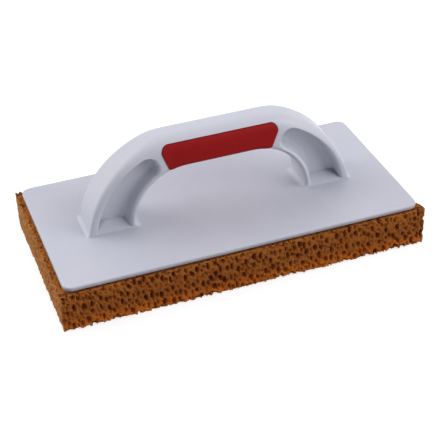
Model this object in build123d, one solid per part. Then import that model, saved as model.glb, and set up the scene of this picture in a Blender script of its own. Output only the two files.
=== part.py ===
from build123d import *
import os
from math import cos, hypot, radians, sin, sqrt

# Sponge float for washing grout. Millimetres, +Z up. The sponge's working face lies on z = 0,
# centred on the origin; the length runs along X and the handle's bar runs the same way.

# ---- driving dimensions -------------------------------------------------------------------
SPONGE_LENGTH = 280.0
SPONGE_WIDTH = 142.0
SPONGE_THICKNESS = 31.0
SPONGE_EDGE_ROUND = 1.5       # upright corners of the cut block

FILM_THICKNESS = 0.5          # glue between sponge and plate
FILM_SETBACK = 1.2            # glue stops this far inside the plate's edge

PLATE_SETBACK_ENDS = 4.5      # sponge left showing round the plate
PLATE_SETBACK_SIDES = 3.5
PLATE_THICKNESS = 3.0
PLATE_CORNER_RADIUS = 7.0
PLATE_TOP_ROUND = 0.9

FINGER_GAP = 42.5             # from the plate to the underside of the bar
BAR_STRAIGHT = 50.0           # flat stretch of the underside; the finger arch turns down at its ends
BAR_THICKNESS = 24.0
HANDLE_DEPTH = 30.0           # across the bar, along Y
LEG_THICKNESS = 35.2          # along X, where the legs meet the plate
LEG_ARC_DROP = 11.0           # the centre of the leg's outer arc lies this far below the plate's top
LEG_ARC_RISE = 2.5            # and its crown would pass this far over the bar
BAR_TOP_RADIUS = 12.5         # long rounds along the top of the bar
INNER_RADIUS = 4.2            # rounds along the underside of the bar
FOOT_RADIUS = 1.9             # both pairs of rounds where they reach the plate
MIN_FLAT = 0.4                # least flat left beside a long round
FOOT_FLARE_INSIDE = 4.5       # fillets where the leg meets the plate
FOOT_FLARE_OUTSIDE = 2.6
BLEND_START = 12.0            # degrees round the arch where the long rounds start to shrink
BLEND_END = 84.0              # degrees where they have shrunk to the foot's radius

WEB_THICKNESS = 7.0           # wall left between the front and back pockets
OUTER_FLANGE = 5.4            # walls left round a pocket, at its mouth
INNER_FLANGE = 3.4
POCKET_DRAFT = 2.8            # the pocket is smaller all round by this much at the web
POCKET_START = 25.0           # degrees round the arch where a pocket begins
POCKET_CAP_RADIUS = 8.0
POCKET_COVE = 4.0             # cove along the foot of the pocket's walls
POCKET_MOUTH_ROUND = 2.8      # softened mouth of a pocket
POCKET_MOUTH_GAP = 0.06       # the rounding runs out this far outside the leg's side
POCKET_FLOOR_BACK = 5.0       # floor height at the web
POCKET_FLOOR_FRONT = 1.2      # floor height at the foot's edge

GRIP_OVERRUN = 21.5           # the grip's top edge runs this far past the straight, at each end
GRIP_SLANT = 7.4              # and its ends lean in by this much on the way down
GRIP_BELOW_TOP = 4.7          # its upper edge lies this far below the top of the bar
GRIP_BELOW_ARCH = 0.55        # and its lower edge this far below the crown of the finger arch
GRIP_TOP_RADIUS = 5.0         # corners of its outline
GRIP_BOTTOM_RADIUS = 2.8
GRIP_UNDER_OVERRUN = 10.0     # under the bar it runs this far past the straight
GRIP_RETURN = 0.8             # its ends are cut off this far past the start of the bar's lower rounds
GRIP_PROUD = 0.5              # stands out from the bar
GRIP_INLAY = 1.8              # sinks into the bar
GRIP_SEAM = 0.55              # open seam round the grip's border
GRIP_FIT = 0.06               # between the grip's inside and the core of the bar

SCREW_SPACING = 14.0          # between the two screws of one foot
SCREW_SHANK = 3.6             # over the thread
SCREW_CORE = 2.5
SCREW_PITCH = 1.4
SCREW_HEAD = 7.0
SCREW_HEAD_HEIGHT = 2.2
SCREW_LENGTH = 15.0
SCREW_CLEARANCE = 0.1         # round shank and head
SCREW_TIP_SPACE = 1.5         # empty bore beyond the tip
RECESS_WIDTH = 1.2            # cross recess of the screw
RECESS_LENGTH = 4.2
RECESS_DEPTH = 1.3

# ---- levels and places that follow ----------------------------------------------------------
FILM_BOTTOM = SPONGE_THICKNESS
PLATE_BOTTOM = FILM_BOTTOM + FILM_THICKNESS
PLATE_TOP = PLATE_BOTTOM + PLATE_THICKNESS
PLATE_LENGTH = SPONGE_LENGTH - 2 * PLATE_SETBACK_ENDS
PLATE_WIDTH = SPONGE_WIDTH - 2 * PLATE_SETBACK_SIDES

# Heights and places on the handle are measured from the plate's top and from the middle of the float.
BAR_TOP = FINGER_GAP + BAR_THICKNESS
ARCH_X = BAR_STRAIGHT / 2
ARCH_RADIUS = FINGER_GAP
FOOT_INSIDE = ARCH_X + ARCH_RADIUS
FOOT_OUTSIDE = FOOT_INSIDE + LEG_THICKNESS
LEG_ARC_RADIUS = BAR_TOP + LEG_ARC_RISE + LEG_ARC_DROP
LEG_ARC_X = FOOT_OUTSIDE - sqrt(LEG_ARC_RADIUS**2 - LEG_ARC_DROP**2)
HALF_DEPTH = HANDLE_DEPTH / 2
SCREW_PLACES = [
    side * ((FOOT_INSIDE + FOOT_OUTSIDE) / 2 + step * SCREW_SPACING / 2)
    for side in (-1, 1)
    for step in (-1, 1)
]


def slab(length, width, height, bottom, corner):
    """An upright block with rounded corners, standing at a level."""
    outline = RectangleRounded(length, width, corner)
    return Pos(0, 0, bottom) * extrude(outline, height)


# ---- handle ---------------------------------------------------------------------------------
def flare(height, radius):
    """How far a foot fillet reaches out at a height above the plate."""
    if height >= radius:
        return 0.0
    return radius - sqrt(radius**2 - (radius - height) ** 2)


def leg_back(angle):
    """Distance from the arch's centre to the outside of bar or leg, in a direction round the arch."""
    across, up = sin(radians(angle)), cos(radians(angle))
    shift_x, shift_z = LEG_ARC_X - ARCH_X, -LEG_ARC_DROP
    along = shift_x * across + shift_z * up
    to_arc = along + sqrt(along**2 - hypot(shift_x, shift_z) ** 2 + LEG_ARC_RADIUS**2)
    if up < 0.01:
        return to_arc
    return min(to_arc, BAR_TOP / up)


def handle_section(angle, shift, grow):
    """Cross section of the handle in a plane through the arch's centre line.

    angle is 0 in the bar and +-90 at a foot; grow moves its whole outline outwards.
    """
    turn = abs(angle)
    outside, inside = leg_back(turn), ARCH_RADIUS
    outside += flare(outside * cos(radians(turn)), FOOT_FLARE_OUTSIDE) + grow
    inside -= flare(inside * cos(radians(turn)), FOOT_FLARE_INSIDE) + grow
    share = min(max((turn - BLEND_START) / (BLEND_END - BLEND_START), 0), 1)
    bar_radius = min(BAR_TOP_RADIUS, HALF_DEPTH - MIN_FLAT, BAR_THICKNESS - INNER_RADIUS - MIN_FLAT)
    outline = Pos((inside + outside) / 2, 0) * Rectangle(outside - inside, HANDLE_DEPTH + 2 * grow)
    for end, radius in ((-1, bar_radius), (0, INNER_RADIUS)):
        radius += (FOOT_RADIUS - radius) * share
        outline = fillet(outline.vertices().group_by(Axis.X)[end], radius + grow)
    lean = radians(angle)
    outwards = (sin(lean), 0, cos(lean))
    travel = (cos(lean), 0, -sin(lean))
    return Plane(origin=(shift, 0, 0), x_dir=outwards, z_dir=travel) * outline


def handle_blank(grow=0.0):
    """The bar and both legs as one smooth body, before pockets and recess."""
    leg_angles = [9, 20, 32, 45, 58, 69, 78, 84, 87, 90]
    left = [handle_section(-angle, -ARCH_X, grow) for angle in reversed(leg_angles)]
    bar = [handle_section(0, share * ARCH_X, grow) for share in (-1, -0.5, 0, 0.5, 1)]
    right = [handle_section(angle, ARCH_X, grow) for angle in leg_angles]
    return loft(left + bar + right)


def pocket_cutter():
    """The hollow in the back of the leg at +X, narrower at the web, with its softened mouth."""
    reach = 3 * LEG_ARC_RADIUS
    beside_outer = Pos(LEG_ARC_X, -LEG_ARC_DROP) * Circle(LEG_ARC_RADIUS - OUTER_FLANGE)
    beside_inner = Pos(ARCH_X, 0) * Circle(ARCH_RADIUS + INNER_FLANGE)
    past_start = Pos(ARCH_X, 0) * Rot(0, 0, -POCKET_START) * Pos(reach / 2, 0) * Rectangle(reach, reach)
    outline = (beside_outer - beside_inner) & past_start
    outline &= Pos(0, reach / 2 - LEG_ARC_DROP) * Rectangle(reach, reach)
    cap_width = leg_back(POCKET_START) - OUTER_FLANGE - INNER_FLANGE - ARCH_RADIUS
    cap_radius = min(POCKET_CAP_RADIUS, (cap_width - MIN_FLAT) / 2)
    outline = fillet(outline.vertices().group_by(Axis.Y)[-2:], cap_radius)

    web_side, open_side = WEB_THICKNESS / 2, HALF_DEPTH + POCKET_MOUTH_ROUND
    at_web = Plane.XZ.offset(-web_side) * offset(outline, -POCKET_DRAFT)
    hollow = loft([at_web, Plane.XZ.offset(-open_side) * outline], ruled=True)
    fall = (POCKET_FLOOR_BACK - POCKET_FLOOR_FRONT) / (HALF_DEPTH - web_side)
    floor_end = POCKET_FLOOR_FRONT - fall * (open_side - HALF_DEPTH)
    low = -2 * LEG_ARC_DROP
    floor_shape = Polygon(
        (web_side, low), (open_side, low), (open_side, floor_end), (web_side, POCKET_FLOOR_BACK), align=None
    )
    hollow -= extrude(Plane.YZ * floor_shape, reach)
    web_edges = hollow.edges().group_by(Axis.Y)[0].sort_by(Axis.Z)[1:]
    hollow = fillet(web_edges, min(POCKET_COVE, cap_radius - POCKET_DRAFT - MIN_FLAT))

    # A slab just outside the leg's side meets the hollow in a rounded edge: the softened mouth.
    mouth_level = HALF_DEPTH + POCKET_MOUTH_GAP
    slab = Pos(0, mouth_level, 0) * Box(reach, reach, reach, align=(Align.MIN, Align.MIN, Align.CENTER))
    tool = hollow + slab
    rim = (
        tool.edges()
        .filter_by_position(Axis.Y, mouth_level, mouth_level)
        .filter_by_position(Axis.X, ARCH_X, FOOT_OUTSIDE)
        .filter_by(lambda edge: edge.bounding_box().size.Z > POCKET_FLOOR_FRONT / 2)
        .filter_by(lambda edge: edge.bounding_box().max.Z < BAR_TOP)
    )
    return fillet(rim, POCKET_MOUTH_ROUND)


def grip_region(margin=0.0):
    """The block of space that the grip fills, carried right through the bar.

    Between the arch's ends it wraps under the bar; its ends stop at the sides. margin widens it.
    """
    half_top = ARCH_X + GRIP_OVERRUN
    half_bottom = half_top - GRIP_SLANT
    top, bottom = BAR_TOP - GRIP_BELOW_TOP, FINGER_GAP - GRIP_BELOW_ARCH
    corners = [(-half_bottom, bottom), (half_bottom, bottom), (half_top, top), (-half_top, top)]
    outline = Polygon(*corners, align=None)
    outline = fillet(outline.vertices().group_by(Axis.Y)[-1], GRIP_TOP_RADIUS)
    outline = fillet(outline.vertices().group_by(Axis.Y)[0], GRIP_BOTTOM_RADIUS)
    if margin:
        outline = offset(outline, margin)
    region = extrude(Plane.XZ * outline, HANDLE_DEPTH, both=True)

    half_under = ARCH_X + GRIP_UNDER_OVERRUN + margin
    half_back = HALF_DEPTH - INNER_RADIUS + GRIP_RETURN - margin
    middle = FINGER_GAP + BAR_THICKNESS / 2
    under = Pos(0, 0, FINGER_GAP) * Box(2 * half_under, 2 * HANDLE_DEPTH, BAR_THICKNESS)
    for side in (-1, 1):
        beyond = Box(BAR_STRAIGHT, 2 * half_back, middle, align=(Align.MIN, Align.CENTER, Align.MIN))
        region -= Rot(0, 0, 90 - 90 * side) * Pos(half_under, 0, 0) * beyond
    return region + under


def screw_bores():
    """The empty space for all four screws, from the plate's underside up into the feet."""
    radius = SCREW_SHANK / 2 + SCREW_CLEARANCE
    head_radius = SCREW_HEAD / 2 + SCREW_CLEARANCE
    shank = Cylinder(radius, SCREW_LENGTH + SCREW_TIP_SPACE, align=(Align.CENTER, Align.CENTER, Align.MIN))
    sink = Cone(head_radius, radius, SCREW_HEAD_HEIGHT, align=(Align.CENTER, Align.CENTER, Align.MIN))
    return [Pos(x, 0, PLATE_BOTTOM) * (shank + sink) for x in SCREW_PLACES]


def screw():
    """A countersunk self-tapping screw, its head down at the level of z = 0."""
    core, crest = SCREW_CORE / 2, SCREW_SHANK / 2
    points = [(0, 0), (SCREW_HEAD / 2, 0), (core, SCREW_HEAD_HEIGHT)]
    turns = int((SCREW_LENGTH - SCREW_HEAD_HEIGHT - SCREW_SHANK) / SCREW_PITCH)
    for turn in range(turns):
        level = SCREW_HEAD_HEIGHT + (turn + 0.5) * SCREW_PITCH
        points += [(core, level), (crest, level + SCREW_PITCH * 0.2), (core, level + SCREW_PITCH * 0.4)]
    points += [(core, SCREW_LENGTH - SCREW_SHANK), (0, SCREW_LENGTH)]
    body = revolve(Plane.XZ * Polygon(*points, align=None), Axis.Z)
    slot = Box(RECESS_LENGTH, RECESS_WIDTH, 2 * RECESS_DEPTH)
    return body - slot - Rot(0, 0, 90) * slot


# ---- assembly ---------------------------------------------------------------------------------
sponge = slab(SPONGE_LENGTH, SPONGE_WIDTH, SPONGE_THICKNESS, 0, SPONGE_EDGE_ROUND)
adhesive_film = slab(
    PLATE_LENGTH - 2 * FILM_SETBACK,
    PLATE_WIDTH - 2 * FILM_SETBACK,
    FILM_THICKNESS,
    FILM_BOTTOM,
    PLATE_CORNER_RADIUS - FILM_SETBACK,
)

base_plate = slab(PLATE_LENGTH, PLATE_WIDTH, PLATE_THICKNESS, PLATE_BOTTOM, PLATE_CORNER_RADIUS)
base_plate = fillet(base_plate.edges().group_by(Axis.Z)[-1], PLATE_TOP_ROUND)

core = handle_blank(-GRIP_INLAY)
handle = handle_blank()
cutter = pocket_cutter()
for leg_cutter in (cutter, mirror(cutter, Plane.YZ)):
    handle -= leg_cutter
    handle -= mirror(leg_cutter, Plane.XZ)
handle -= grip_region(GRIP_SEAM) - core
handle = Pos(0, 0, PLATE_TOP) * handle

soft_grip = (handle_blank(GRIP_PROUD) & grip_region()) - handle_blank(GRIP_FIT - GRIP_INLAY)
soft_grip = Pos(0, 0, PLATE_TOP) * soft_grip

for bore in screw_bores():
    base_plate -= bore
    handle -= bore

handle_screws = Compound(children=[Pos(x, 0, PLATE_BOTTOM) * screw() for x in SCREW_PLACES])

os.makedirs("parts", exist_ok=True)
for name, piece in {
    "sponge": sponge,
    "adhesive_film": adhesive_film,
    "base_plate": base_plate,
    "handle": handle,
    "soft_grip": soft_grip,
    "handle_screws": handle_screws,
}.items():
    export_step(piece, f"parts/{name}.step")
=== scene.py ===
# %% [markdown]
# # A sponge float for washing grout
#
# The float is a thick brown sponge glued under a thin grey plate, with an arched handle screwed on
# top and a red soft grip let into its bar. The hard parts come ready made from the CAD model and
# only need their finish. The sponge is the piece we really have to sculpt here, because its look is
# all in its open cells.
#
# The first cell loads the CAD model as a fixed frame. Everything is in metres, with the sponge's
# working face on z = 0 and the handle along X. The size of each CAD part is printed.

# %% Load the CAD model
from math import cos, pi, radians, sin

import bmesh
import bpy
import numpy as np
from mathutils import Matrix, Vector
from mathutils.kdtree import KDTree


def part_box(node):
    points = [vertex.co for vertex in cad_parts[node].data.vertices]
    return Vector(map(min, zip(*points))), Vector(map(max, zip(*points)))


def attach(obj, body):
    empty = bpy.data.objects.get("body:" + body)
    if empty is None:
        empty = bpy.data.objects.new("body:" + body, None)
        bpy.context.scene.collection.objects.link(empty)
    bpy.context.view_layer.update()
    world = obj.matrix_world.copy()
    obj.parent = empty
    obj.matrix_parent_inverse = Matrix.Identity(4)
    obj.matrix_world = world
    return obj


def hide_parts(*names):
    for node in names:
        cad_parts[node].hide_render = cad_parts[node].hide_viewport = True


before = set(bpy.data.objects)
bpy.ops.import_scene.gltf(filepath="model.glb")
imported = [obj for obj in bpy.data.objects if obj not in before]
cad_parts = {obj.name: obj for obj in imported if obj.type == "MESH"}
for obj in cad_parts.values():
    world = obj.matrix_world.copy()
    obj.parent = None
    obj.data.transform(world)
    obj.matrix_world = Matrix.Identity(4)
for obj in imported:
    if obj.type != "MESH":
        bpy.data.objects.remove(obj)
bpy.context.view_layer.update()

MM = 0.001
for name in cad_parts:
    low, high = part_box(name)
    print(name, "size in mm:", [round(side / MM, 1) for side in high - low])

# %% [markdown]
# ## Camera
#
# A camera is placed best from the thing it looks at. We pick a point on top of the plate, step back
# from it along a direction given by two angles, and turn the camera to face it. A long lens, used
# from further away, keeps the far end of the float from looking small. The last turn is a slight
# roll about the line of sight.

# %% Camera
PLATE_LOW, PLATE_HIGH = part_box("base_plate")
LOOK_AT = Vector((-8 * MM, -30 * MM, PLATE_HIGH.z))
CAMERA_TURN = radians(-19.07)
CAMERA_HEIGHT = radians(34.77)
CAMERA_ROLL = radians(-2.06)
CAMERA_DISTANCE = 900 * MM
LENS = 100.26
SENSOR = 36
NEAREST_SEEN = 50 * MM


def direction(turn, height):
    """The unit vector from the float towards a point of view; turn 0 is in front, on -Y."""
    return Vector((sin(turn) * cos(height), -cos(turn) * cos(height), sin(height)))


lens = bpy.data.cameras.new("Camera")
lens.lens = LENS
lens.sensor_width = SENSOR
lens.clip_start = NEAREST_SEEN
camera = bpy.data.objects.new("Camera", lens)
back = direction(CAMERA_TURN, CAMERA_HEIGHT)
stand = LOOK_AT + back * CAMERA_DISTANCE
aim = back.to_track_quat("Z", "Y").to_matrix().to_4x4()
camera.matrix_world = Matrix.Translation(stand) @ aim @ Matrix.Rotation(CAMERA_ROLL, 4, "Z")
bpy.context.scene.collection.objects.link(camera)
bpy.context.scene.camera = camera
print("camera stands", round(stand.length, 3), "m from the origin")

# %% [markdown]
# ## Helpers for materials
#
# Displays show colours in sRGB, but a shader works with linear light. `srgb` converts the familiar
# 0 to 255 numbers, so that a colour can be written the way a painter would read it off. `put` adds
# a node and sets its inputs in one line, and an input can be named, or numbered where several
# share a name.

# %% Helpers for nodes


def srgb(red, green, blue):
    """A linear RGBA colour from 0-255 sRGB numbers."""
    shares = (red / 255, green / 255, blue / 255)
    linear = [s / 12.92 if s <= 0.04045 else ((s + 0.055) / 1.055) ** 2.4 for s in shares]
    return (*linear, 1.0)


def put(tree, kind, settings=None, **inputs):
    """Adds a node, sets its properties, and sets or links its inputs by name or by _number."""
    node = tree.nodes.new(kind)
    for name, value in (settings or {}).items():
        setattr(node, name, value)
    for name, value in inputs.items():
        socket = node.inputs[int(name[1:]) if name[0] == "_" else name.replace("__", " ")]
        if isinstance(value, bpy.types.NodeSocket):
            tree.links.new(value, socket)
        else:
            socket.default_value = value
    return node


print("white is", srgb(255, 255, 255))

# %% [markdown]
# A few steps come back in every recipe below: let a value run from one number to another, mix two
# colours by a share, do a little arithmetic. A short function for each keeps the recipes readable.
# They hand back an output socket, ready to be linked. Only `two_tones` hands back its whole ramp,
# so that the stops on it can still be moved.

# %% Helpers for values and colours


def span(tree, value, low, high, at_low, at_high):
    """A value that goes from at_low to at_high while the given one goes from low to high."""
    return put(
        tree, "ShaderNodeMapRange", _0=value, _1=low, _2=high, _3=at_low, _4=at_high
    ).outputs[0]


def blend(tree, share, first, second):
    """A colour between two: the first at share 0, the second at share 1."""
    return put(
        tree, "ShaderNodeMix", {"data_type": "RGBA"}, _0=share, _6=first, _7=second
    ).outputs[2]


def reckon(tree, operation, *values):
    """The result of a sum, product or other operation on values."""
    inputs = {f"_{number}": value for number, value in enumerate(values)}
    return put(tree, "ShaderNodeMath", {"operation": operation}, **inputs).outputs[0]


def two_tones(tree, value, first, second):
    """A colour ramp between two tones."""
    ramp = put(tree, "ShaderNodeValToRGB", Fac=value)
    ramp.color_ramp.elements[0].color = first
    ramp.color_ramp.elements[1].color = second
    return ramp


def own_place(tree):
    """Where a point lies on its own piece, in metres."""
    return put(tree, "ShaderNodeTexCoord").outputs["Object"]


helpers = (span, blend, reckon, two_tones, own_place)
print("helpers:", [helper.__name__ for helper in helpers])

# %% [markdown]
# A new material starts from a Principled shader. The CAD nodes come with a plain material, and
# `wear` takes it off and puts the finished one on.

# %% Helpers for whole materials


def new_material(name):
    """A material with a Principled shader; returns it with its tree and shader."""
    material = bpy.data.materials.new(name)
    material.use_nodes = True
    tree = material.node_tree
    return material, tree, tree.nodes["Principled BSDF"]


def wear(node_name, material):
    """Gives a CAD node one material in place of its plain one."""
    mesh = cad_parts[node_name].data
    mesh.materials.clear()
    mesh.materials.append(material)


print("CAD nodes to dress:", sorted(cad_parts))

# %% [markdown]
# ## Moulded skin
#
# Plate, handle and grip all come out of steel moulds, and a mould leaves the same three things on
# each: a very fine even grain, a slow drift of tone over the piece, and small rubbed patches that
# shine a little more than the rest. One node group makes all three, and each material sets its own
# grain size and colours. It could be three copies of the same nodes, but then a change of mind
# would have to be made three times.
#
# The group reads the piece's own coordinates in metres, so a noise of scale 2000 has grains about
# half a millimetre across.

# %% Node group for a moulded skin
COLOUR, VALUE, VECTOR = "NodeSocketColor", "NodeSocketFloat", "NodeSocketVector"
DRIFT_SCALE = 22
RUB_SCALE = 70
GRAIN_SHARE = 0.22


def new_group(name, inputs, outputs):
    """A shader node group with named sockets; returns it with its input and output nodes."""
    tree = bpy.data.node_groups.new(name, "ShaderNodeTree")
    for label, kind in inputs:
        tree.interface.new_socket(label, in_out="INPUT", socket_type=kind)
    for label, kind in outputs:
        tree.interface.new_socket(label, in_out="OUTPUT", socket_type=kind)
    return tree, tree.nodes.new("NodeGroupInput"), tree.nodes.new("NodeGroupOutput")


moulded_skin, given, made = new_group(
    "moulded_skin",
    [("Place", VECTOR), ("Tone", COLOUR), ("Deep Tone", COLOUR), ("Grain Scale", VALUE),
     ("Drift", VALUE), ("Dull", VALUE), ("Rubbed", VALUE)],
    [("Color", COLOUR), ("Roughness", VALUE), ("Height", VALUE)],
)
ask = given.outputs
drift = put(
    moulded_skin, "ShaderNodeTexNoise", Vector=ask["Place"], Scale=DRIFT_SCALE, Detail=3
).outputs["Fac"]
grain = put(
    moulded_skin, "ShaderNodeTexNoise",
    Vector=ask["Place"], Scale=ask["Grain Scale"], Detail=2, Roughness=0.6,
).outputs["Fac"]
rubs = put(
    moulded_skin, "ShaderNodeTexNoise",
    Vector=ask["Place"], Scale=RUB_SCALE, Detail=6, Roughness=0.7,
).outputs["Fac"]
depth_share = reckon(
    moulded_skin, "ADD",
    span(moulded_skin, drift, 0.3, 0.7, 0.0, ask["Drift"]),
    span(moulded_skin, grain, 0.35, 0.75, 0.0, GRAIN_SHARE),
)
toned = blend(moulded_skin, depth_share, ask["Tone"], ask["Deep Tone"])
rubbed = span(moulded_skin, rubs, 0.42, 0.68, ask["Dull"], ask["Rubbed"])
moulded_skin.links.new(toned, made.inputs["Color"])
moulded_skin.links.new(rubbed, made.inputs["Roughness"])
moulded_skin.links.new(grain, made.inputs["Height"])
print("group", moulded_skin.name, "has", len(moulded_skin.nodes), "nodes")

# %% [markdown]
# ## Grey plastic for the plate and the handle
#
# Both are a cool light grey plastic with a satin finish. They are two mouldings, and two batches
# never match exactly, so each gets its own material from the same recipe. The bump only has to be
# a few hundredths of a millimetre: satin comes from roughness, and the bump just breaks up the
# highlight.

# %% Grey plastic


def moulded_material(
    name, tone, deep_tone, grain_scale, drift_share, dull, rubbed_share, bump_mm, gloss=0.5
):
    """A material whose colour, roughness and bump come from the moulded skin."""
    material, tree, shader = new_material(name)
    skin = put(
        tree, "ShaderNodeGroup", {"node_tree": moulded_skin},
        Place=own_place(tree), Tone=tone, Deep__Tone=deep_tone, Grain__Scale=grain_scale,
        Drift=drift_share, Dull=dull, Rubbed=rubbed_share,
    )
    bump = put(
        tree, "ShaderNodeBump", Height=skin.outputs["Height"], Distance=bump_mm * MM, Strength=1.0
    )
    tree.links.new(skin.outputs["Color"], shader.inputs["Base Color"])
    tree.links.new(skin.outputs["Roughness"], shader.inputs["Roughness"])
    tree.links.new(bump.outputs["Normal"], shader.inputs["Normal"])
    shader.inputs["Specular IOR Level"].default_value = gloss
    return material


plate_plastic = moulded_material(
    "plate_plastic", tone=srgb(194, 194, 205), deep_tone=srgb(182, 182, 195),
    grain_scale=1500, drift_share=0.5, dull=0.52, rubbed_share=0.40, bump_mm=0.03,
)
handle_plastic = moulded_material(
    "handle_plastic", tone=srgb(199, 199, 209), deep_tone=srgb(186, 187, 199),
    grain_scale=2100, drift_share=0.4, dull=0.46, rubbed_share=0.36, bump_mm=0.02,
)
wear("base_plate", plate_plastic)
wear("handle", handle_plastic)
print("grey plastics:", plate_plastic.name, handle_plastic.name)

# %% [markdown]
# ## A brown line along the foot of the plate
#
# The plate is darker and browner along its lower edge. It could be painted by hand on a map, but
# then it would have to be painted again for every new size of plate.
# Instead a second colour is laid over the first by a share that depends on the height. Noise is
# taken off the height first, so that the line comes out ragged.

# %% Brown line on the plate
STREAK_SCALE = 160
STREAK_HEIGHT = 1.6 * MM
FOOT_LINE_FULL = PLATE_LOW.z + 0.1 * MM
FOOT_LINE_GONE = PLATE_LOW.z + 0.9 * MM
FOOT_LINE_SHARE = 0.5
FOOT_LINE_BROWN = srgb(134, 112, 110)


def tint(material, share, tone):
    """Mixes a tone over a material's colour, by a share that varies over the surface."""
    tree = material.node_tree
    base = tree.nodes["Principled BSDF"].inputs["Base Color"]
    tree.links.new(blend(tree, share, base.links[0].from_socket, tone), base)


tree = plate_plastic.node_tree
place = own_place(tree)
streaks = put(tree, "ShaderNodeTexNoise", Vector=place, Scale=STREAK_SCALE, Detail=3)
level = put(tree, "ShaderNodeSeparateXYZ", Vector=place).outputs["Z"]
ragged = reckon(tree, "MULTIPLY_ADD", streaks.outputs["Fac"], -STREAK_HEIGHT, level)
# the plate's colour turns darker and browner towards its lower edge
foot_line = span(tree, ragged, FOOT_LINE_FULL, FOOT_LINE_GONE, FOOT_LINE_SHARE, 0.0)
tint(plate_plastic, foot_line, FOOT_LINE_BROWN)
print("stain reaches", round((FOOT_LINE_GONE + STREAK_HEIGHT - PLATE_LOW.z) / MM, 1), "mm up at most")

# %% [markdown]
# ## Painted shade in the handle's pockets
#
# The deep corners of the pockets in the legs get painted shade, darker than the lamps alone make
# them. The Ambient Occlusion node tells how closed in each point is: 1 is open to all sides, and
# tight corners come near 0. So the painted shade finds the corners by itself, wherever they are.
# The node only looks at the handle, and only a short way around each point.

# %% Painted shade in the pockets
POCKET_REACH = 14 * MM
TIGHT, OPEN = 0.3, 0.56
CREASE_SHADE_SHARE = 0.9
CREASE_SHADE_GREY = srgb(112, 114, 130)

tree = handle_plastic.node_tree
corners = put(
    tree, "ShaderNodeAmbientOcclusion", {"samples": 16, "only_local": True}, Distance=POCKET_REACH
)
# painted shade: tight corners of the pockets are mixed towards a dark grey
crease_shade = span(tree, corners.outputs["AO"], TIGHT, OPEN, CREASE_SHADE_SHARE, 0.0)
tint(handle_plastic, crease_shade, CREASE_SHADE_GREY)
print("grime looks for corners", round(POCKET_REACH / MM), "mm around each point")

# %% [markdown]
# ## Red soft grip
#
# The grip is a rubbery plastic. Such a surface is duller than the hard plastic beside it, has a
# coarser leathery grain to hold wet fingers, and mirrors far less light, which keeps its red deep.
# How much it mirrors is one even value, so it is set on the shader itself.

# %% Red soft grip
grip_rubber = moulded_material(
    "grip_rubber", tone=srgb(158, 14, 14), deep_tone=srgb(132, 8, 10),
    grain_scale=1100, drift_share=0.5, dull=0.62, rubbed_share=0.48, bump_mm=0.06, gloss=0.14,
)
wear("soft_grip", grip_rubber)
print("grip material:", grip_rubber.name)

# %% [markdown]
# ## Dried glue
#
# A bead of contact glue holds the sponge to the plate. All that shows of it is a thin dark line set
# back under the plate's edge, but someone may look at the float from the side, so it gets the amber
# brown, glossy and lumpy look of dried glue.

# %% Dried glue
LUMP_SCALE = 420
LUMP_HEIGHT = 0.25 * MM

dried_glue, tree, shader = new_material("dried_glue")
lumps = put(
    tree, "ShaderNodeTexNoise", Vector=own_place(tree), Scale=LUMP_SCALE, Detail=3
).outputs["Fac"]
glue_tone = two_tones(tree, lumps, srgb(44, 24, 10), srgb(96, 58, 26))
glue_bump = put(tree, "ShaderNodeBump", Height=lumps, Distance=LUMP_HEIGHT, Strength=1.0)
tree.links.new(glue_tone.outputs["Color"], shader.inputs["Base Color"])
tree.links.new(span(tree, lumps, 0.3, 0.7, 0.35, 0.6), shader.inputs["Roughness"])
tree.links.new(glue_bump.outputs["Normal"], shader.inputs["Normal"])
wear("adhesive_film", dried_glue)
print("glue material:", dried_glue.name)

# %% [markdown]
# ## Zinc-plated screws
#
# The four screws sit between plate and sponge and only show when the float is taken apart. Zinc
# plating is a metal with a faint yellow cast and a patchy, slightly cloudy shine.

# %% Zinc-plated screws
CLOUD_SCALE = 700

screw_zinc, tree, shader = new_material("screw_zinc")
clouds = put(
    tree, "ShaderNodeTexNoise", Vector=own_place(tree), Scale=CLOUD_SCALE, Detail=4
).outputs["Fac"]
zinc_tone = two_tones(tree, clouds, srgb(166, 158, 138), srgb(212, 206, 186))
tree.links.new(zinc_tone.outputs["Color"], shader.inputs["Base Color"])
tree.links.new(span(tree, clouds, 0.3, 0.7, 0.28, 0.5), shader.inputs["Roughness"])
shader.inputs["Metallic"].default_value = 1.0
wear("handle_screws", screw_zinc)
print("screw material:", screw_zinc.name)

# %% [markdown]
# ## Sponge: the block
#
# The sponge is a block cut from coarse foam. A box with a bumpy material would be the quick way,
# but real foam has holes with depth: they swallow light and bite into the outline. So we carve
# them into the mesh, and that needs a skin of small squares for the carving to move.
#
# The block is drawn up like a pot: a fine grid for the working face, its rim pulled up in thin
# layers for the sides, and the rim then drawn in over the top as far as the plate hides it. One
# large face closes the rest, where nothing is ever seen.

# %% Sponge block
CELL = 0.72 * MM
BORDER = 8 * MM

SPONGE_LOW, SPONGE_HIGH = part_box("sponge")
SPONGE_SIZE = SPONGE_HIGH - SPONGE_LOW


def pull_rim(bm, rim, change, amount):
    """Extrudes an open rim and moves or scales the new edge; returns the new rim."""
    grown = bmesh.ops.extrude_edge_only(bm, edges=rim)["geom"]
    fresh = {item for item in grown if isinstance(item, bmesh.types.BMVert)}
    change(bm, vec=amount, verts=list(fresh))
    edges = [item for item in grown if isinstance(item, bmesh.types.BMEdge)]
    return [edge for edge in edges if set(edge.verts) <= fresh]


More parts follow.
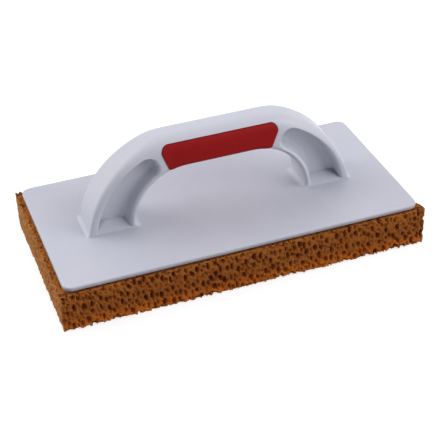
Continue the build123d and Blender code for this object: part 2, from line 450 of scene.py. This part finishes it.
bm = bmesh.new()
across, along, layers = (max(2, round(side / CELL)) for side in SPONGE_SIZE)
bmesh.ops.create_grid(bm, x_segments=across, y_segments=along, size=0.5)
bmesh.ops.scale(bm, vec=(SPONGE_SIZE.x, SPONGE_SIZE.y, 1), verts=bm.verts)
rim = [edge for edge in bm.edges if edge.is_boundary]
for layer in range(layers):
    rim = pull_rim(bm, rim, bmesh.ops.translate, Vector((0, 0, SPONGE_SIZE.z / layers)))
for ring in range(round(BORDER / CELL)):
    sides = [side - 2 * ring * CELL for side in SPONGE_SIZE.xy]
    shrink = [(side - 2 * CELL) / side for side in sides]
    rim = pull_rim(bm, rim, bmesh.ops.scale, Vector((*shrink, 1)))
bmesh.ops.contextual_create(bm, geom=rim)
bmesh.ops.recalc_face_normals(bm, faces=bm.faces)
print("sponge block:", len(bm.verts), "points,", len(bm.faces), "faces")

# %% [markdown]
# ## Sponge: a flat pattern for painting
#
# A texture map of the sponge is easiest to paint, or bake, while its six sides are still flat. Each
# side gets its own patch of the map: two large ones for bottom and top, and the four narrow ones
# in rows above them. Patches have a gap between them so that colours don't bleed across.

# %% Sponge map
GAP = 4 * MM
WIDTH, HEIGHT = SPONGE_SIZE.yz
MAP_SIDE = 2 * WIDTH + 3 * HEIGHT + 5 * GAP


def patch_of(normal):
    """Which two axes lie in a side's patch, and where the patch starts."""
    side_rows = 2 * (WIDTH + GAP)
    if normal.z < -0.5:
        return 0, 1, (0, 0)
    if normal.z > 0.5:
        return 0, 1, (0, WIDTH + GAP)
    if abs(normal.y) > 0.5:
        return 0, 2, (0, side_rows if normal.y < 0 else side_rows + HEIGHT + GAP)
    return 1, 2, (0 if normal.x < 0 else WIDTH + GAP, side_rows + 2 * (HEIGHT + GAP))


flat_map = bm.loops.layers.uv.new("OFBake")
for face in bm.faces:
    first, second, start = patch_of(face.normal)
    shift = (SPONGE_SIZE[first] / 2, WIDTH / 2 if second == 1 else 0)
    for loop in face.loops:
        point = loop.vert.co
        loop[flat_map].uv = (
            (point[first] + shift[0] + start[0] + GAP / 2) / MAP_SIDE,
            (point[second] + shift[1] + start[1] + GAP / 2) / MAP_SIDE,
        )
print("map covers", round(MAP_SIDE / MM), "mm each way")

# %% [markdown]
# ## Sponge: throwing cells at a face
#
# Foam cells are blown bubbles. The cut opens each bubble at a different depth, so a face shows
# round holes of many sizes with thin walls between them. This foam rose in its mould, which drew
# its cells out upwards: on the long sides they are tall ovals, from underneath nearly round.
#
# Cells are thrown at random, the largest first, and a throw counts only where it leaves a wall to
# its neighbours. Raising a random number to a power makes large cells rare. The random numbers
# start from a fixed seed, so the sponge is the same every time. From here on the sponge is
# measured in millimetres.

# %% Throwing cells
RARITY = 3.0
THROWS = 6
SEED = 11
rng = np.random.default_rng(SEED)
size = np.array(SPONGE_SIZE) / MM


def throw_cells(reach, count, sizes, tall, wall):
    """Centres and radii of cells on a flat patch, with their height stretched."""
    radii = np.sort(sizes[0] + (sizes[1] - sizes[0]) * rng.random(count) ** RARITY)[::-1]
    kept = np.empty((0, 3))
    for radius in radii:
        for attempt in range(THROWS):
            spot = rng.random(2) * reach
            away = np.hypot(kept[:, 0] - spot[0], (kept[:, 1] - spot[1]) / tall)
            if np.all(away > (kept[:, 2] + radius) * wall):
                kept = np.vstack([kept, [*spot, radius]])
                break
    return kept


print("up to", THROWS, "throws for each cell, on a face of", size[:2].round(1), "mm")

# %% [markdown]
# ## Sponge: where the cells lie
#
# A cell's centre sinks below the face by part of its radius, which sets how wide its mouth opens.
# It reaches deeper than it is wide, and no cell is perfectly even, so its width and height are
# skewed a little against each other. A last lot of small cells is strung along the bottom edges,
# where use has frayed the foam.

# %% Sponge cells
SKEW_LEAST, SKEW_RANGE = 0.85, 0.3
CELL_DEPTH = 1.9
NICK_LEAST, NICK_RANGE = 0.45, 0.95
NICK_TALL = 1.4
NICK_RISE = 0.5


def cells_on(side, count, sizes, tall, wall, sink=(0.1, 0.7)):
    """Cells under one side of the block: rows of centre x, y, z and radius x, y, z."""
    axis, sign = side
    flat = [other for other in range(3) if other != axis]
    flat_cells = throw_cells(size[flat], count, sizes, tall, wall)
    rows = np.zeros((len(flat_cells), 6))
    radius = flat_cells[:, 2]
    skew = SKEW_LEAST + SKEW_RANGE * rng.random(len(radius))
    rows[:, flat[0]] = flat_cells[:, 0] - size[flat[0]] / 2
    rows[:, flat[1]] = flat_cells[:, 1] - (0 if flat[1] == 2 else size[flat[1]] / 2)
    depth = radius * (sink[0] + (sink[1] - sink[0]) * rng.random(len(radius)))
    face_at = size[axis] / 2 * sign if axis < 2 else (size[2] if sign > 0 else 0)
    rows[:, axis] = face_at - sign * depth
    rows[:, 3 + flat[0]] = radius * skew
    rows[:, 3 + flat[1]] = radius * tall / skew
    rows[:, 3 + axis] = radius * CELL_DEPTH
    return rows


def nicks_along(axis, count):
    """Small cells strung along the two bottom edges that run along X or Y."""
    rows = np.zeros((count, 6))
    rows[:, axis] = (rng.random(count) - 0.5) * size[axis]
    rows[:, 1 - axis] = rng.choice((-0.5, 0.5), count) * size[1 - axis]
    rows[:, 2] = rng.random(count) * NICK_RISE
    rows[:, 3:] = (NICK_LEAST + NICK_RANGE * rng.random(count) ** 2)[:, None] * (1, 1, NICK_TALL)
    return rows


FRONT, BACK, LEFT, RIGHT, TOP, BOTTOM = (1, -1), (1, 1), (0, -1), (0, 1), (2, 1), (2, -1)
cells = np.vstack([
    cells_on(FRONT, 1000, sizes=(0.42, 1.6), tall=2.1, wall=1.14),
    cells_on(BACK, 1000, sizes=(0.42, 1.6), tall=2.1, wall=1.14),
    cells_on(LEFT, 520, sizes=(0.45, 1.4), tall=1.5, wall=1.08, sink=(0.1, 0.75)),
    cells_on(RIGHT, 520, sizes=(0.45, 1.4), tall=1.5, wall=1.08, sink=(0.1, 0.75)),
    cells_on(TOP, 5200, sizes=(0.5, 1.25), tall=1.0, wall=1.0),
    cells_on(BOTTOM, 4200, sizes=(0.6, 2.0), tall=1.0, wall=0.98),
    nicks_along(0, 950),
    nicks_along(1, 420),
])
print("cells thrown:", len(cells))

# %% [markdown]
# ## Sponge: which way is in
#
# Every point of the skin needs to know the way into the block. On a face that is straight in. On an
# edge or a corner it is along all its faces at once, which is what lets a cell bite a notch into
# the outline. The points are also nudged by a few slow waves before they are compared with the
# cells, so that no cell comes out a perfect oval. A KD-tree then finds the points near a cell
# quickly.

# %% Inward directions and nudged points
WAVES = 14
WAVE_LEAST, WAVE_RANGE = 0.7, 0.8
EDGE = 0.01


def ripple(points, wavelength, height):
    """A smooth random push for each point, from a sum of sine waves."""
    push = np.zeros_like(points)
    for wave in range(WAVES):
        heading = rng.normal(size=3)
        length = wavelength * (WAVE_LEAST + WAVE_RANGE * rng.random())
        heading *= 2 * pi / length / np.linalg.norm(heading)
        swing = rng.normal(size=3) * height / np.sqrt(WAVES)
        push += np.sin(points @ heading + rng.random() * 2 * pi)[:, None] * swing
    return push


bm.verts.ensure_lookup_table()
skin = np.array([vert.co for vert in bm.verts]) / MM
inward = np.zeros_like(skin)
for axis in (0, 1):
    inward[skin[:, axis] < -size[axis] / 2 + EDGE, axis] = 1
    inward[skin[:, axis] > size[axis] / 2 - EDGE, axis] = -1
inward[skin[:, 2] < EDGE, 2] = 1
inward[skin[:, 2] > size[2] - EDGE, 2] = -1
inward /= np.linalg.norm(inward, axis=1)[:, None]

nudged = skin + ripple(skin, wavelength=4.0, height=0.35)
finder = KDTree(len(nudged))
for number, point in enumerate(nudged):
    finder.insert(point, number)
finder.balance()
print("points to carve:", len(skin))

# %% [markdown]
# ## Sponge: carving
#
# Every point of the skin that lies inside a cell is pushed into the block until it meets the
# cell's far wall. How far it goes follows from a quadratic: the line through an ellipsoid leaves it
# where the stretched distance to the centre is one. Very deep holes are eased off with a tanh, so
# that the squares on their walls don't stretch without end.

# %% Carve the cells
DEEPEST = 4.5

depth = np.zeros(len(skin))
for row in cells:
    centre, radii = row[:3], row[3:]
    found = finder.find_range(centre, radii.max())
    near = np.array([number for _, number, _ in found], dtype=int)
    if len(near) == 0:
        continue
    start = (nudged[near] - centre) / radii
    step = inward[near] / radii
    square = (step**2).sum(1)
    half = (start * step).sum(1)
    rest = (start**2).sum(1) - 1
    inside = rest < 0
    root = np.sqrt(half[inside] ** 2 - square[inside] * rest[inside])
    travel = (root - half[inside]) / square[inside]
    depth[near[inside]] = np.maximum(depth[near[inside]], travel)
depth = DEEPEST * np.tanh(depth / DEEPEST)
carved_share = float((depth > 0.3).mean())
print("deepest hole:", round(depth.max(), 2), "mm, carved share:", round(carved_share, 2))

# %% [markdown]
# ## Sponge: the skin between the cells
#
# The walls between the holes aren't flat either. They get a fine roughness, always inwards so that
# the block never outgrows its size, and the whole face a slow waviness from the cutting wire. Under
# the plate the top stays flat, because the glue holds it there.

# %% Roughen the skin
GLUED_FROM = 5.2
ROUGH_SHARE, WAVY_SHARE = 0.5, 0.35

rough = np.abs(ripple(skin, wavelength=1.6, height=0.22)).sum(1) * ROUGH_SHARE
wavy = np.abs(ripple(skin, wavelength=60.0, height=0.5)).sum(1) * WAVY_SHARE
from_rim = np.minimum(size[0] / 2 - np.abs(skin[:, 0]), size[1] / 2 - np.abs(skin[:, 1]))
on_top = skin[:, 2] > size[2] - EDGE
free = np.where(on_top & (from_rim > GLUED_FROM), 0.0, 1.0)
moved = skin + inward * ((depth + rough + wavy) * free)[:, None]
print("points held flat by the glue:", int((free == 0).sum()))

# %% [markdown]
# ## Sponge: its outline
#
# Foam blocks aren't cut exactly. The right end is a little out of square: past the front corner it
# draws back towards the plate, so that hardly any foam stands out beyond the plate there. Handling
# also wears the four upright edges round, so points that stand past a small circle at a corner are
# pulled back onto it. The block could have been drawn with these from the start, but on the carved
# points they take a few lines and leave every cell where it was thrown.

# %% Skew the right end, round the corners
END_SKEW = 3.2
END_REACH = 12.0
CORNER_KEPT = 20.0
CORNER_ROUND = 2.4

near_end = np.clip((skin[:, 0] - (size[0] / 2 - END_REACH)) / END_REACH, 0, 1)
past_corner = np.clip((skin[:, 1] + size[1] / 2) / CORNER_KEPT, 0, 1)
moved[:, 0] -= END_SKEW * near_end * past_corner**2 * (3 - 2 * past_corner)

core = size[:2] / 2 - CORNER_ROUND
past_core = np.abs(moved[:, :2]) - core
reach = np.hypot(past_core[:, 0], past_core[:, 1])
at_corner = (past_core.min(1) > 0) & (reach > CORNER_ROUND)
onto_circle = (CORNER_ROUND / np.maximum(reach, CORNER_ROUND))[:, None]
pulled = np.sign(moved[:, :2]) * (core + past_core * onto_circle)
moved[at_corner, :2] = pulled[at_corner]
print("points pulled in at the corners:", int(at_corner.sum()))

# %% [markdown]
# ## Sponge: the finished mesh
#
# The moved points go back into the mesh in one go, which is much faster than one by one. The depth
# of the cut is kept on each point as an attribute, because the material will read it to paint shade
# inside the holes. The new mesh then takes the place of the plain CAD block and rides on the same
# body.

# %% Finish the sponge
PORE_FULL = 2.4

mesh = bpy.data.meshes.new("sponge_block")
bm.to_mesh(mesh)
bm.free()
mesh.vertices.foreach_set("co", (moved * MM).astype(np.float32).ravel())
pore = mesh.attributes.new("pore", "FLOAT", "POINT")
pore.data.foreach_set("value", np.clip(depth * free / PORE_FULL, 0, 1).astype(np.float32))
mesh.polygons.foreach_set("use_smooth", np.ones(len(mesh.polygons), bool))
mesh.update()
sponge = bpy.data.objects.new("sponge_block", mesh)
bpy.context.scene.collection.objects.link(sponge)
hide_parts("sponge")
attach(sponge, "root")
print("sponge triangles:", sum(len(face.vertices) - 2 for face in mesh.polygons))

# %% [markdown]
# ## Sponge: the tone of its walls
#
# Close up, foam is never one brown. Its walls are fibrous, so a fine noise runs them between a
# dark and a light ochre. A ready-made texture of foam would repeat and show seams, and a noise does
# neither. It is drawn out upwards like the cells are, by a Mapping node that squeezes the height
# before the pattern is laid on.

# %% Sponge walls
CELLS_TALL = 0.5
FIBRE_SCALE = 1000
DARK_OCHRE, LIGHT_OCHRE = srgb(130, 65, 15), srgb(184, 108, 40)

sponge_foam, tree, shader = new_material("sponge_foam")
place = own_place(tree)
tall_place = put(
    tree, "ShaderNodeMapping", Vector=place, Scale=(1.0, 1.0, CELLS_TALL)
).outputs[0]
fibres = put(
    tree, "ShaderNodeTexNoise", Vector=tall_place, Scale=FIBRE_SCALE, Detail=4, Roughness=0.7
).outputs["Fac"]
walls = two_tones(tree, fibres, DARK_OCHRE, LIGHT_OCHRE)
walls.color_ramp.elements[0].position = 0.3
walls.color_ramp.elements[1].position = 0.72
foam_tone = walls.outputs[0]
print("fibres about", round(1000 / FIBRE_SCALE, 1), "mm wide")

# %% [markdown]
# ## Sponge: tones that depend on the place
#
# Light from the floor shining up through the thin foam near the working face is painted into the
# colour: the foam turns more orange towards the working face, and its frayed lower edge glows pale.
# The strip beside the plate is a cleaner yellow, and the short ends, which a hot wire cut, are a
# dry tan. The right end only gets that tan at its front corner, because the rest of it was drawn in
# further than the tone reaches. Each is a tone laid over the last, by a share that fades out over a
# few millimetres. Each row of the list says what is measured, between which two measures the share
# runs, the share at each of them, and the tone.

# %% Sponge tones by place
TOP_LEVEL = SPONGE_HIGH.z
GLOW_HEIGHT, PALE_GLOW_HEIGHT, STRIP_HEIGHT = 12 * MM, 2.6 * MM, 9 * MM
END_FROM, END_FULL = SPONGE_HIGH.x - 1.6 * MM, SPONGE_HIGH.x - 0.4 * MM
GLOW_ORANGE, GLOW_PALE = srgb(226, 118, 26), srgb(240, 164, 84)
CLEAN_YELLOW, DRY_TAN = srgb(186, 112, 38), srgb(206, 148, 84)

spot = put(tree, "ShaderNodeSeparateXYZ", Vector=place).outputs
from_middle = reckon(tree, "ABSOLUTE", spot["X"])
# painted light: an orange glow towards the working face and a pale glow at the frayed lower edge
over_tones = [
    (spot["Z"], 0.0, GLOW_HEIGHT, 0.9, 0.0, GLOW_ORANGE),
    (spot["Z"], 0.0, PALE_GLOW_HEIGHT, 0.55, 0.0, GLOW_PALE),
    (spot["Z"], TOP_LEVEL - STRIP_HEIGHT, TOP_LEVEL, 0.0, 0.6, CLEAN_YELLOW),
    (from_middle, END_FROM, END_FULL, 0.0, 0.6, DRY_TAN),
]
for value, low, high, at_low, at_high, tone in over_tones:
    foam_tone = blend(tree, span(tree, value, low, high, at_low, at_high), foam_tone, tone)
print("tones laid over the foam:", len(over_tones))

# %% [markdown]
# ## Sponge: the plate's painted shadow and patches
#
# Along the two long sides the shadow of the plate's edge is painted as a dark brown on the foam
# beside the plate.
# Three shares multiplied together pick out that strip: beside the plate, on a long side, and at
# the top. Slow patches then darken the whole block here and there.

# %% Sponge painted plate shadow and patches
PLATE_SIDE = PLATE_HIGH.y
SHADOW_FULL, SHADOW_GONE = PLATE_SIDE + 0.6 * MM, PLATE_SIDE + 2.0 * MM
SHADOW_SHARE = 0.75
FADE_FROM, FADE_TO = 3.0 * MM, 1.0 * MM
PATCH_SCALE = 60
PLATE_SHADOW_BROWN, PATCH_BROWN = srgb(74, 40, 18), srgb(134, 66, 14)

from_line = reckon(tree, "ABSOLUTE", spot["Y"])
by_plate = span(tree, from_line, SHADOW_FULL, SHADOW_GONE, SHADOW_SHARE, 0.0)
long_side = span(tree, from_line, PLATE_SIDE - FADE_FROM, PLATE_SIDE - FADE_TO, 0.0, 1.0)
at_top = span(tree, spot["Z"], TOP_LEVEL - FADE_FROM, TOP_LEVEL - FADE_TO, 0.0, 1.0)
# painted shadow of the plate's edge on the foam top along the long sides
plate_shadow = reckon(tree, "MULTIPLY", reckon(tree, "MULTIPLY", by_plate, long_side), at_top)
foam_tone = blend(tree, plate_shadow, foam_tone, PLATE_SHADOW_BROWN)

patches = put(
    tree, "ShaderNodeTexNoise", Vector=place, Scale=PATCH_SCALE, Detail=4, Roughness=0.6
).outputs["Fac"]
patch_share = span(tree, patches, 0.35, 0.7, 0.0, 0.4)
foam_tone = blend(tree, patch_share, foam_tone, PATCH_BROWN)
print("the glue line ends", round(SHADOW_GONE / MM, 1), "mm from the middle line")

# %% [markdown]
# ## Sponge: holes
#
# Between the carved holes there are many more. Carving them too would take millions of squares, so
# two Voronoi patterns draw them as dots of painted shade, darkest in the middle. The carved holes
# get painted shade by their depth as well, on top of the real shade their walls cast. Of the two
# patterns and the carved depth, the darkest wins. Near the frayed foot light gets in from all
# sides, so the painted shade in the holes is fainter there.

# %% Sponge holes
SMALL_SCALE, FINE_SCALE = 900, 2100
SMALL_SHARE, FINE_SHARE = 0.36, 0.3
FOOT_HEIGHT = 9 * MM
FOOT_SHARE = 0.45
HOLE_SHADE_BROWN = srgb(106, 42, 9)


def dots(scale, full, gone):
    """Dots of the foam's small holes: 1 in the middle of a hole, 0 on the wall."""
    pattern = put(
        tree, "ShaderNodeTexVoronoi", {"feature": "F1"},
        Vector=tall_place, Scale=scale, Randomness=1.0,
    )
    return span(tree, pattern.outputs["Distance"], full, gone, 1.0, 0.0)


small_dots = reckon(tree, "MULTIPLY", dots(SMALL_SCALE, 0.12, 0.42), SMALL_SHARE)
fine_dots = reckon(tree, "MULTIPLY", dots(FINE_SCALE, 0.1, 0.5), FINE_SHARE)
dot_share = reckon(tree, "MAXIMUM", small_dots, fine_dots)
carved = put(tree, "ShaderNodeAttribute", {"attribute_name": "pore"}).outputs["Fac"]
hole_shade_share = reckon(tree, "MAXIMUM", dot_share, carved)
lit_foot = span(tree, spot["Z"], 0.0, FOOT_HEIGHT, FOOT_SHARE, 1.0)
seen_hole = reckon(tree, "MULTIPLY", hole_shade_share, lit_foot)
# painted shade inside the holes, both carved and drawn as dots
foam_tone = blend(tree, seen_hole, foam_tone, HOLE_SHADE_BROWN)
print("small holes about", round(1000 / SMALL_SCALE, 1), "and", round(1000 / FINE_SCALE, 1), "mm")

# %% [markdown]
# ## Sponge: bump and shader
#
# The small holes also dent the surface, and the fibres stand up between them: the bump takes the
# fibres and subtracts the holes. Foam has hardly any shine, so it mirrors little, everywhere the
# same.

# %% Sponge bump and shader
DENT_DEPTH = 0.45 * MM

dents = reckon(tree, "MULTIPLY_ADD", dot_share, -1.0, fibres)
foam_bump = put(tree, "ShaderNodeBump", Height=dents, Distance=DENT_DEPTH, Strength=0.9)
tree.links.new(foam_tone, shader.inputs["Base Color"])
tree.links.new(span(tree, fibres, 0.3, 0.7, 0.95, 0.8), shader.inputs["Roughness"])
tree.links.new(foam_bump.outputs["Normal"], shader.inputs["Normal"])
shader.inputs["Specular IOR Level"].default_value = 0.2
mesh.materials.append(sponge_foam)
print("foam material has", len(tree.nodes), "nodes")

# %% [markdown]
# ## Floor
#
# The float stands on a pale floor in a white room. Cameras record anything brighter than white as
# white, so the floor adds a little light of its own for the camera only: it looks white, still
# takes the float's soft shadow, and doesn't light the float from below more than a pale table
# would.

# %% Floor
scene = bpy.context.scene
scene.view_settings.view_transform = "Standard"

FLOOR_SIZE = 6.0
OWN_LIGHT = 0.7
bm = bmesh.new()
bmesh.ops.create_grid(bm, x_segments=1, y_segments=1, size=FLOOR_SIZE / 2)
floor_mesh = bpy.data.meshes.new("floor")
bm.to_mesh(floor_mesh)
bm.free()
floor = bpy.data.objects.new("floor", floor_mesh)
scene.collection.objects.link(floor)


def seen_by_eye(tree):
    """1 for rays from the camera or off shiny and clear surfaces, else 0."""
    path = put(tree, "ShaderNodeLightPath").outputs
    first = reckon(tree, "MAXIMUM", path["Is Camera Ray"], path["Is Glossy Ray"])
    return reckon(tree, "MAXIMUM", first, path["Is Transmission Ray"])


floor_white, tree, shader = new_material("floor_white")
speck = put(tree, "ShaderNodeTexNoise", Vector=own_place(tree), Scale=40).outputs["Fac"]
floor_tone = two_tones(tree, speck, srgb(180, 180, 182), srgb(186, 186, 188))
own_light = reckon(tree, "MULTIPLY", seen_by_eye(tree), OWN_LIGHT)
tree.links.new(floor_tone.outputs[0], shader.inputs["Base Color"])
tree.links.new(own_light, shader.inputs["Emission Strength"])
shader.inputs["Roughness"].default_value = 0.9
shader.inputs["Specular IOR Level"].default_value = 0.1
shader.inputs["Emission Color"].default_value = (1, 1, 1, 1)
floor_mesh.materials.append(floor_white)
print("floor", FLOOR_SIZE, "m wide")

# %% [markdown]
# ## Room
#
# The room fills the shadows. Its walls are brighter than its ceiling, because light that comes in
# low also reaches the plate under the bar, where light from above doesn't. One wall, at the front
# and left, gives only a third of that light: the pockets in the handle face that way, and this
# keeps their corners deep. The camera itself sees plain white all round.

# %% Room
WALL_LIGHT = 0.86
CEILING_LIGHT = 0.3
DARK_WALL = (-0.77, -0.64, 0.0)
DARK_SHARE = 0.35

room = bpy.data.worlds.new("room")
scene.world = room
room.use_nodes = True
tree = room.node_tree
background = tree.nodes["Background"]
eye = seen_by_eye(tree)
way = put(tree, "ShaderNodeTexCoord").outputs["Generated"]
up = put(tree, "ShaderNodeSeparateXYZ", Vector=way).outputs["Z"]
towards_dark = put(
    tree, "ShaderNodeVectorMath", {"operation": "DOT_PRODUCT"}, _0=way, _1=DARK_WALL
).outputs["Value"]
wall_light = reckon(
    tree, "MULTIPLY",
    span(tree, up, 0.0, 1.0, WALL_LIGHT, CEILING_LIGHT),
    span(tree, towards_dark, 0.2, 0.9, 1.0, DARK_SHARE),
)
sky = blend(tree, eye, srgb(247, 250, 255), srgb(255, 255, 255))
tree.links.new(sky, background.inputs["Color"])
tree.links.new(span(tree, eye, 0.0, 1.0, wall_light, 1.0), background.inputs["Strength"])
print("walls", WALL_LIGHT, "and ceiling", CEILING_LIGHT)

# %% [markdown]
# ## Lamps
#
# Three broad lamps model the shapes: one behind on the left, one low on the right and in front, and
# the largest nearly overhead. Their shadows of the bar fall in different places and none is hard,
# so the plate stays evenly lit. Small lamps would leave hard highlights on the satin plastic.

# %% Lamps
LAMP_DISTANCE = 1.6


def softbox(name, turn, height, side, watts):
    """A square area lamp that looks at the float from a direction."""
    lamp = bpy.data.lights.new(name, "AREA")
    lamp.shape = "SQUARE"
    lamp.size = side
    lamp.energy = watts
    holder = bpy.data.objects.new(name, lamp)
    towards = direction(radians(turn), radians(height))
    aim = towards.to_track_quat("Z", "Y").to_matrix().to_4x4()
    holder.matrix_world = Matrix.Translation(towards * LAMP_DISTANCE) @ aim
    scene.collection.objects.link(holder)


softbox("lamp_left", turn=-118, height=32, side=1.2, watts=13.5)
softbox("lamp_right", turn=52, height=36, side=1.2, watts=13.0)
softbox("lamp_back", turn=165, height=68, side=2.0, watts=7.5)
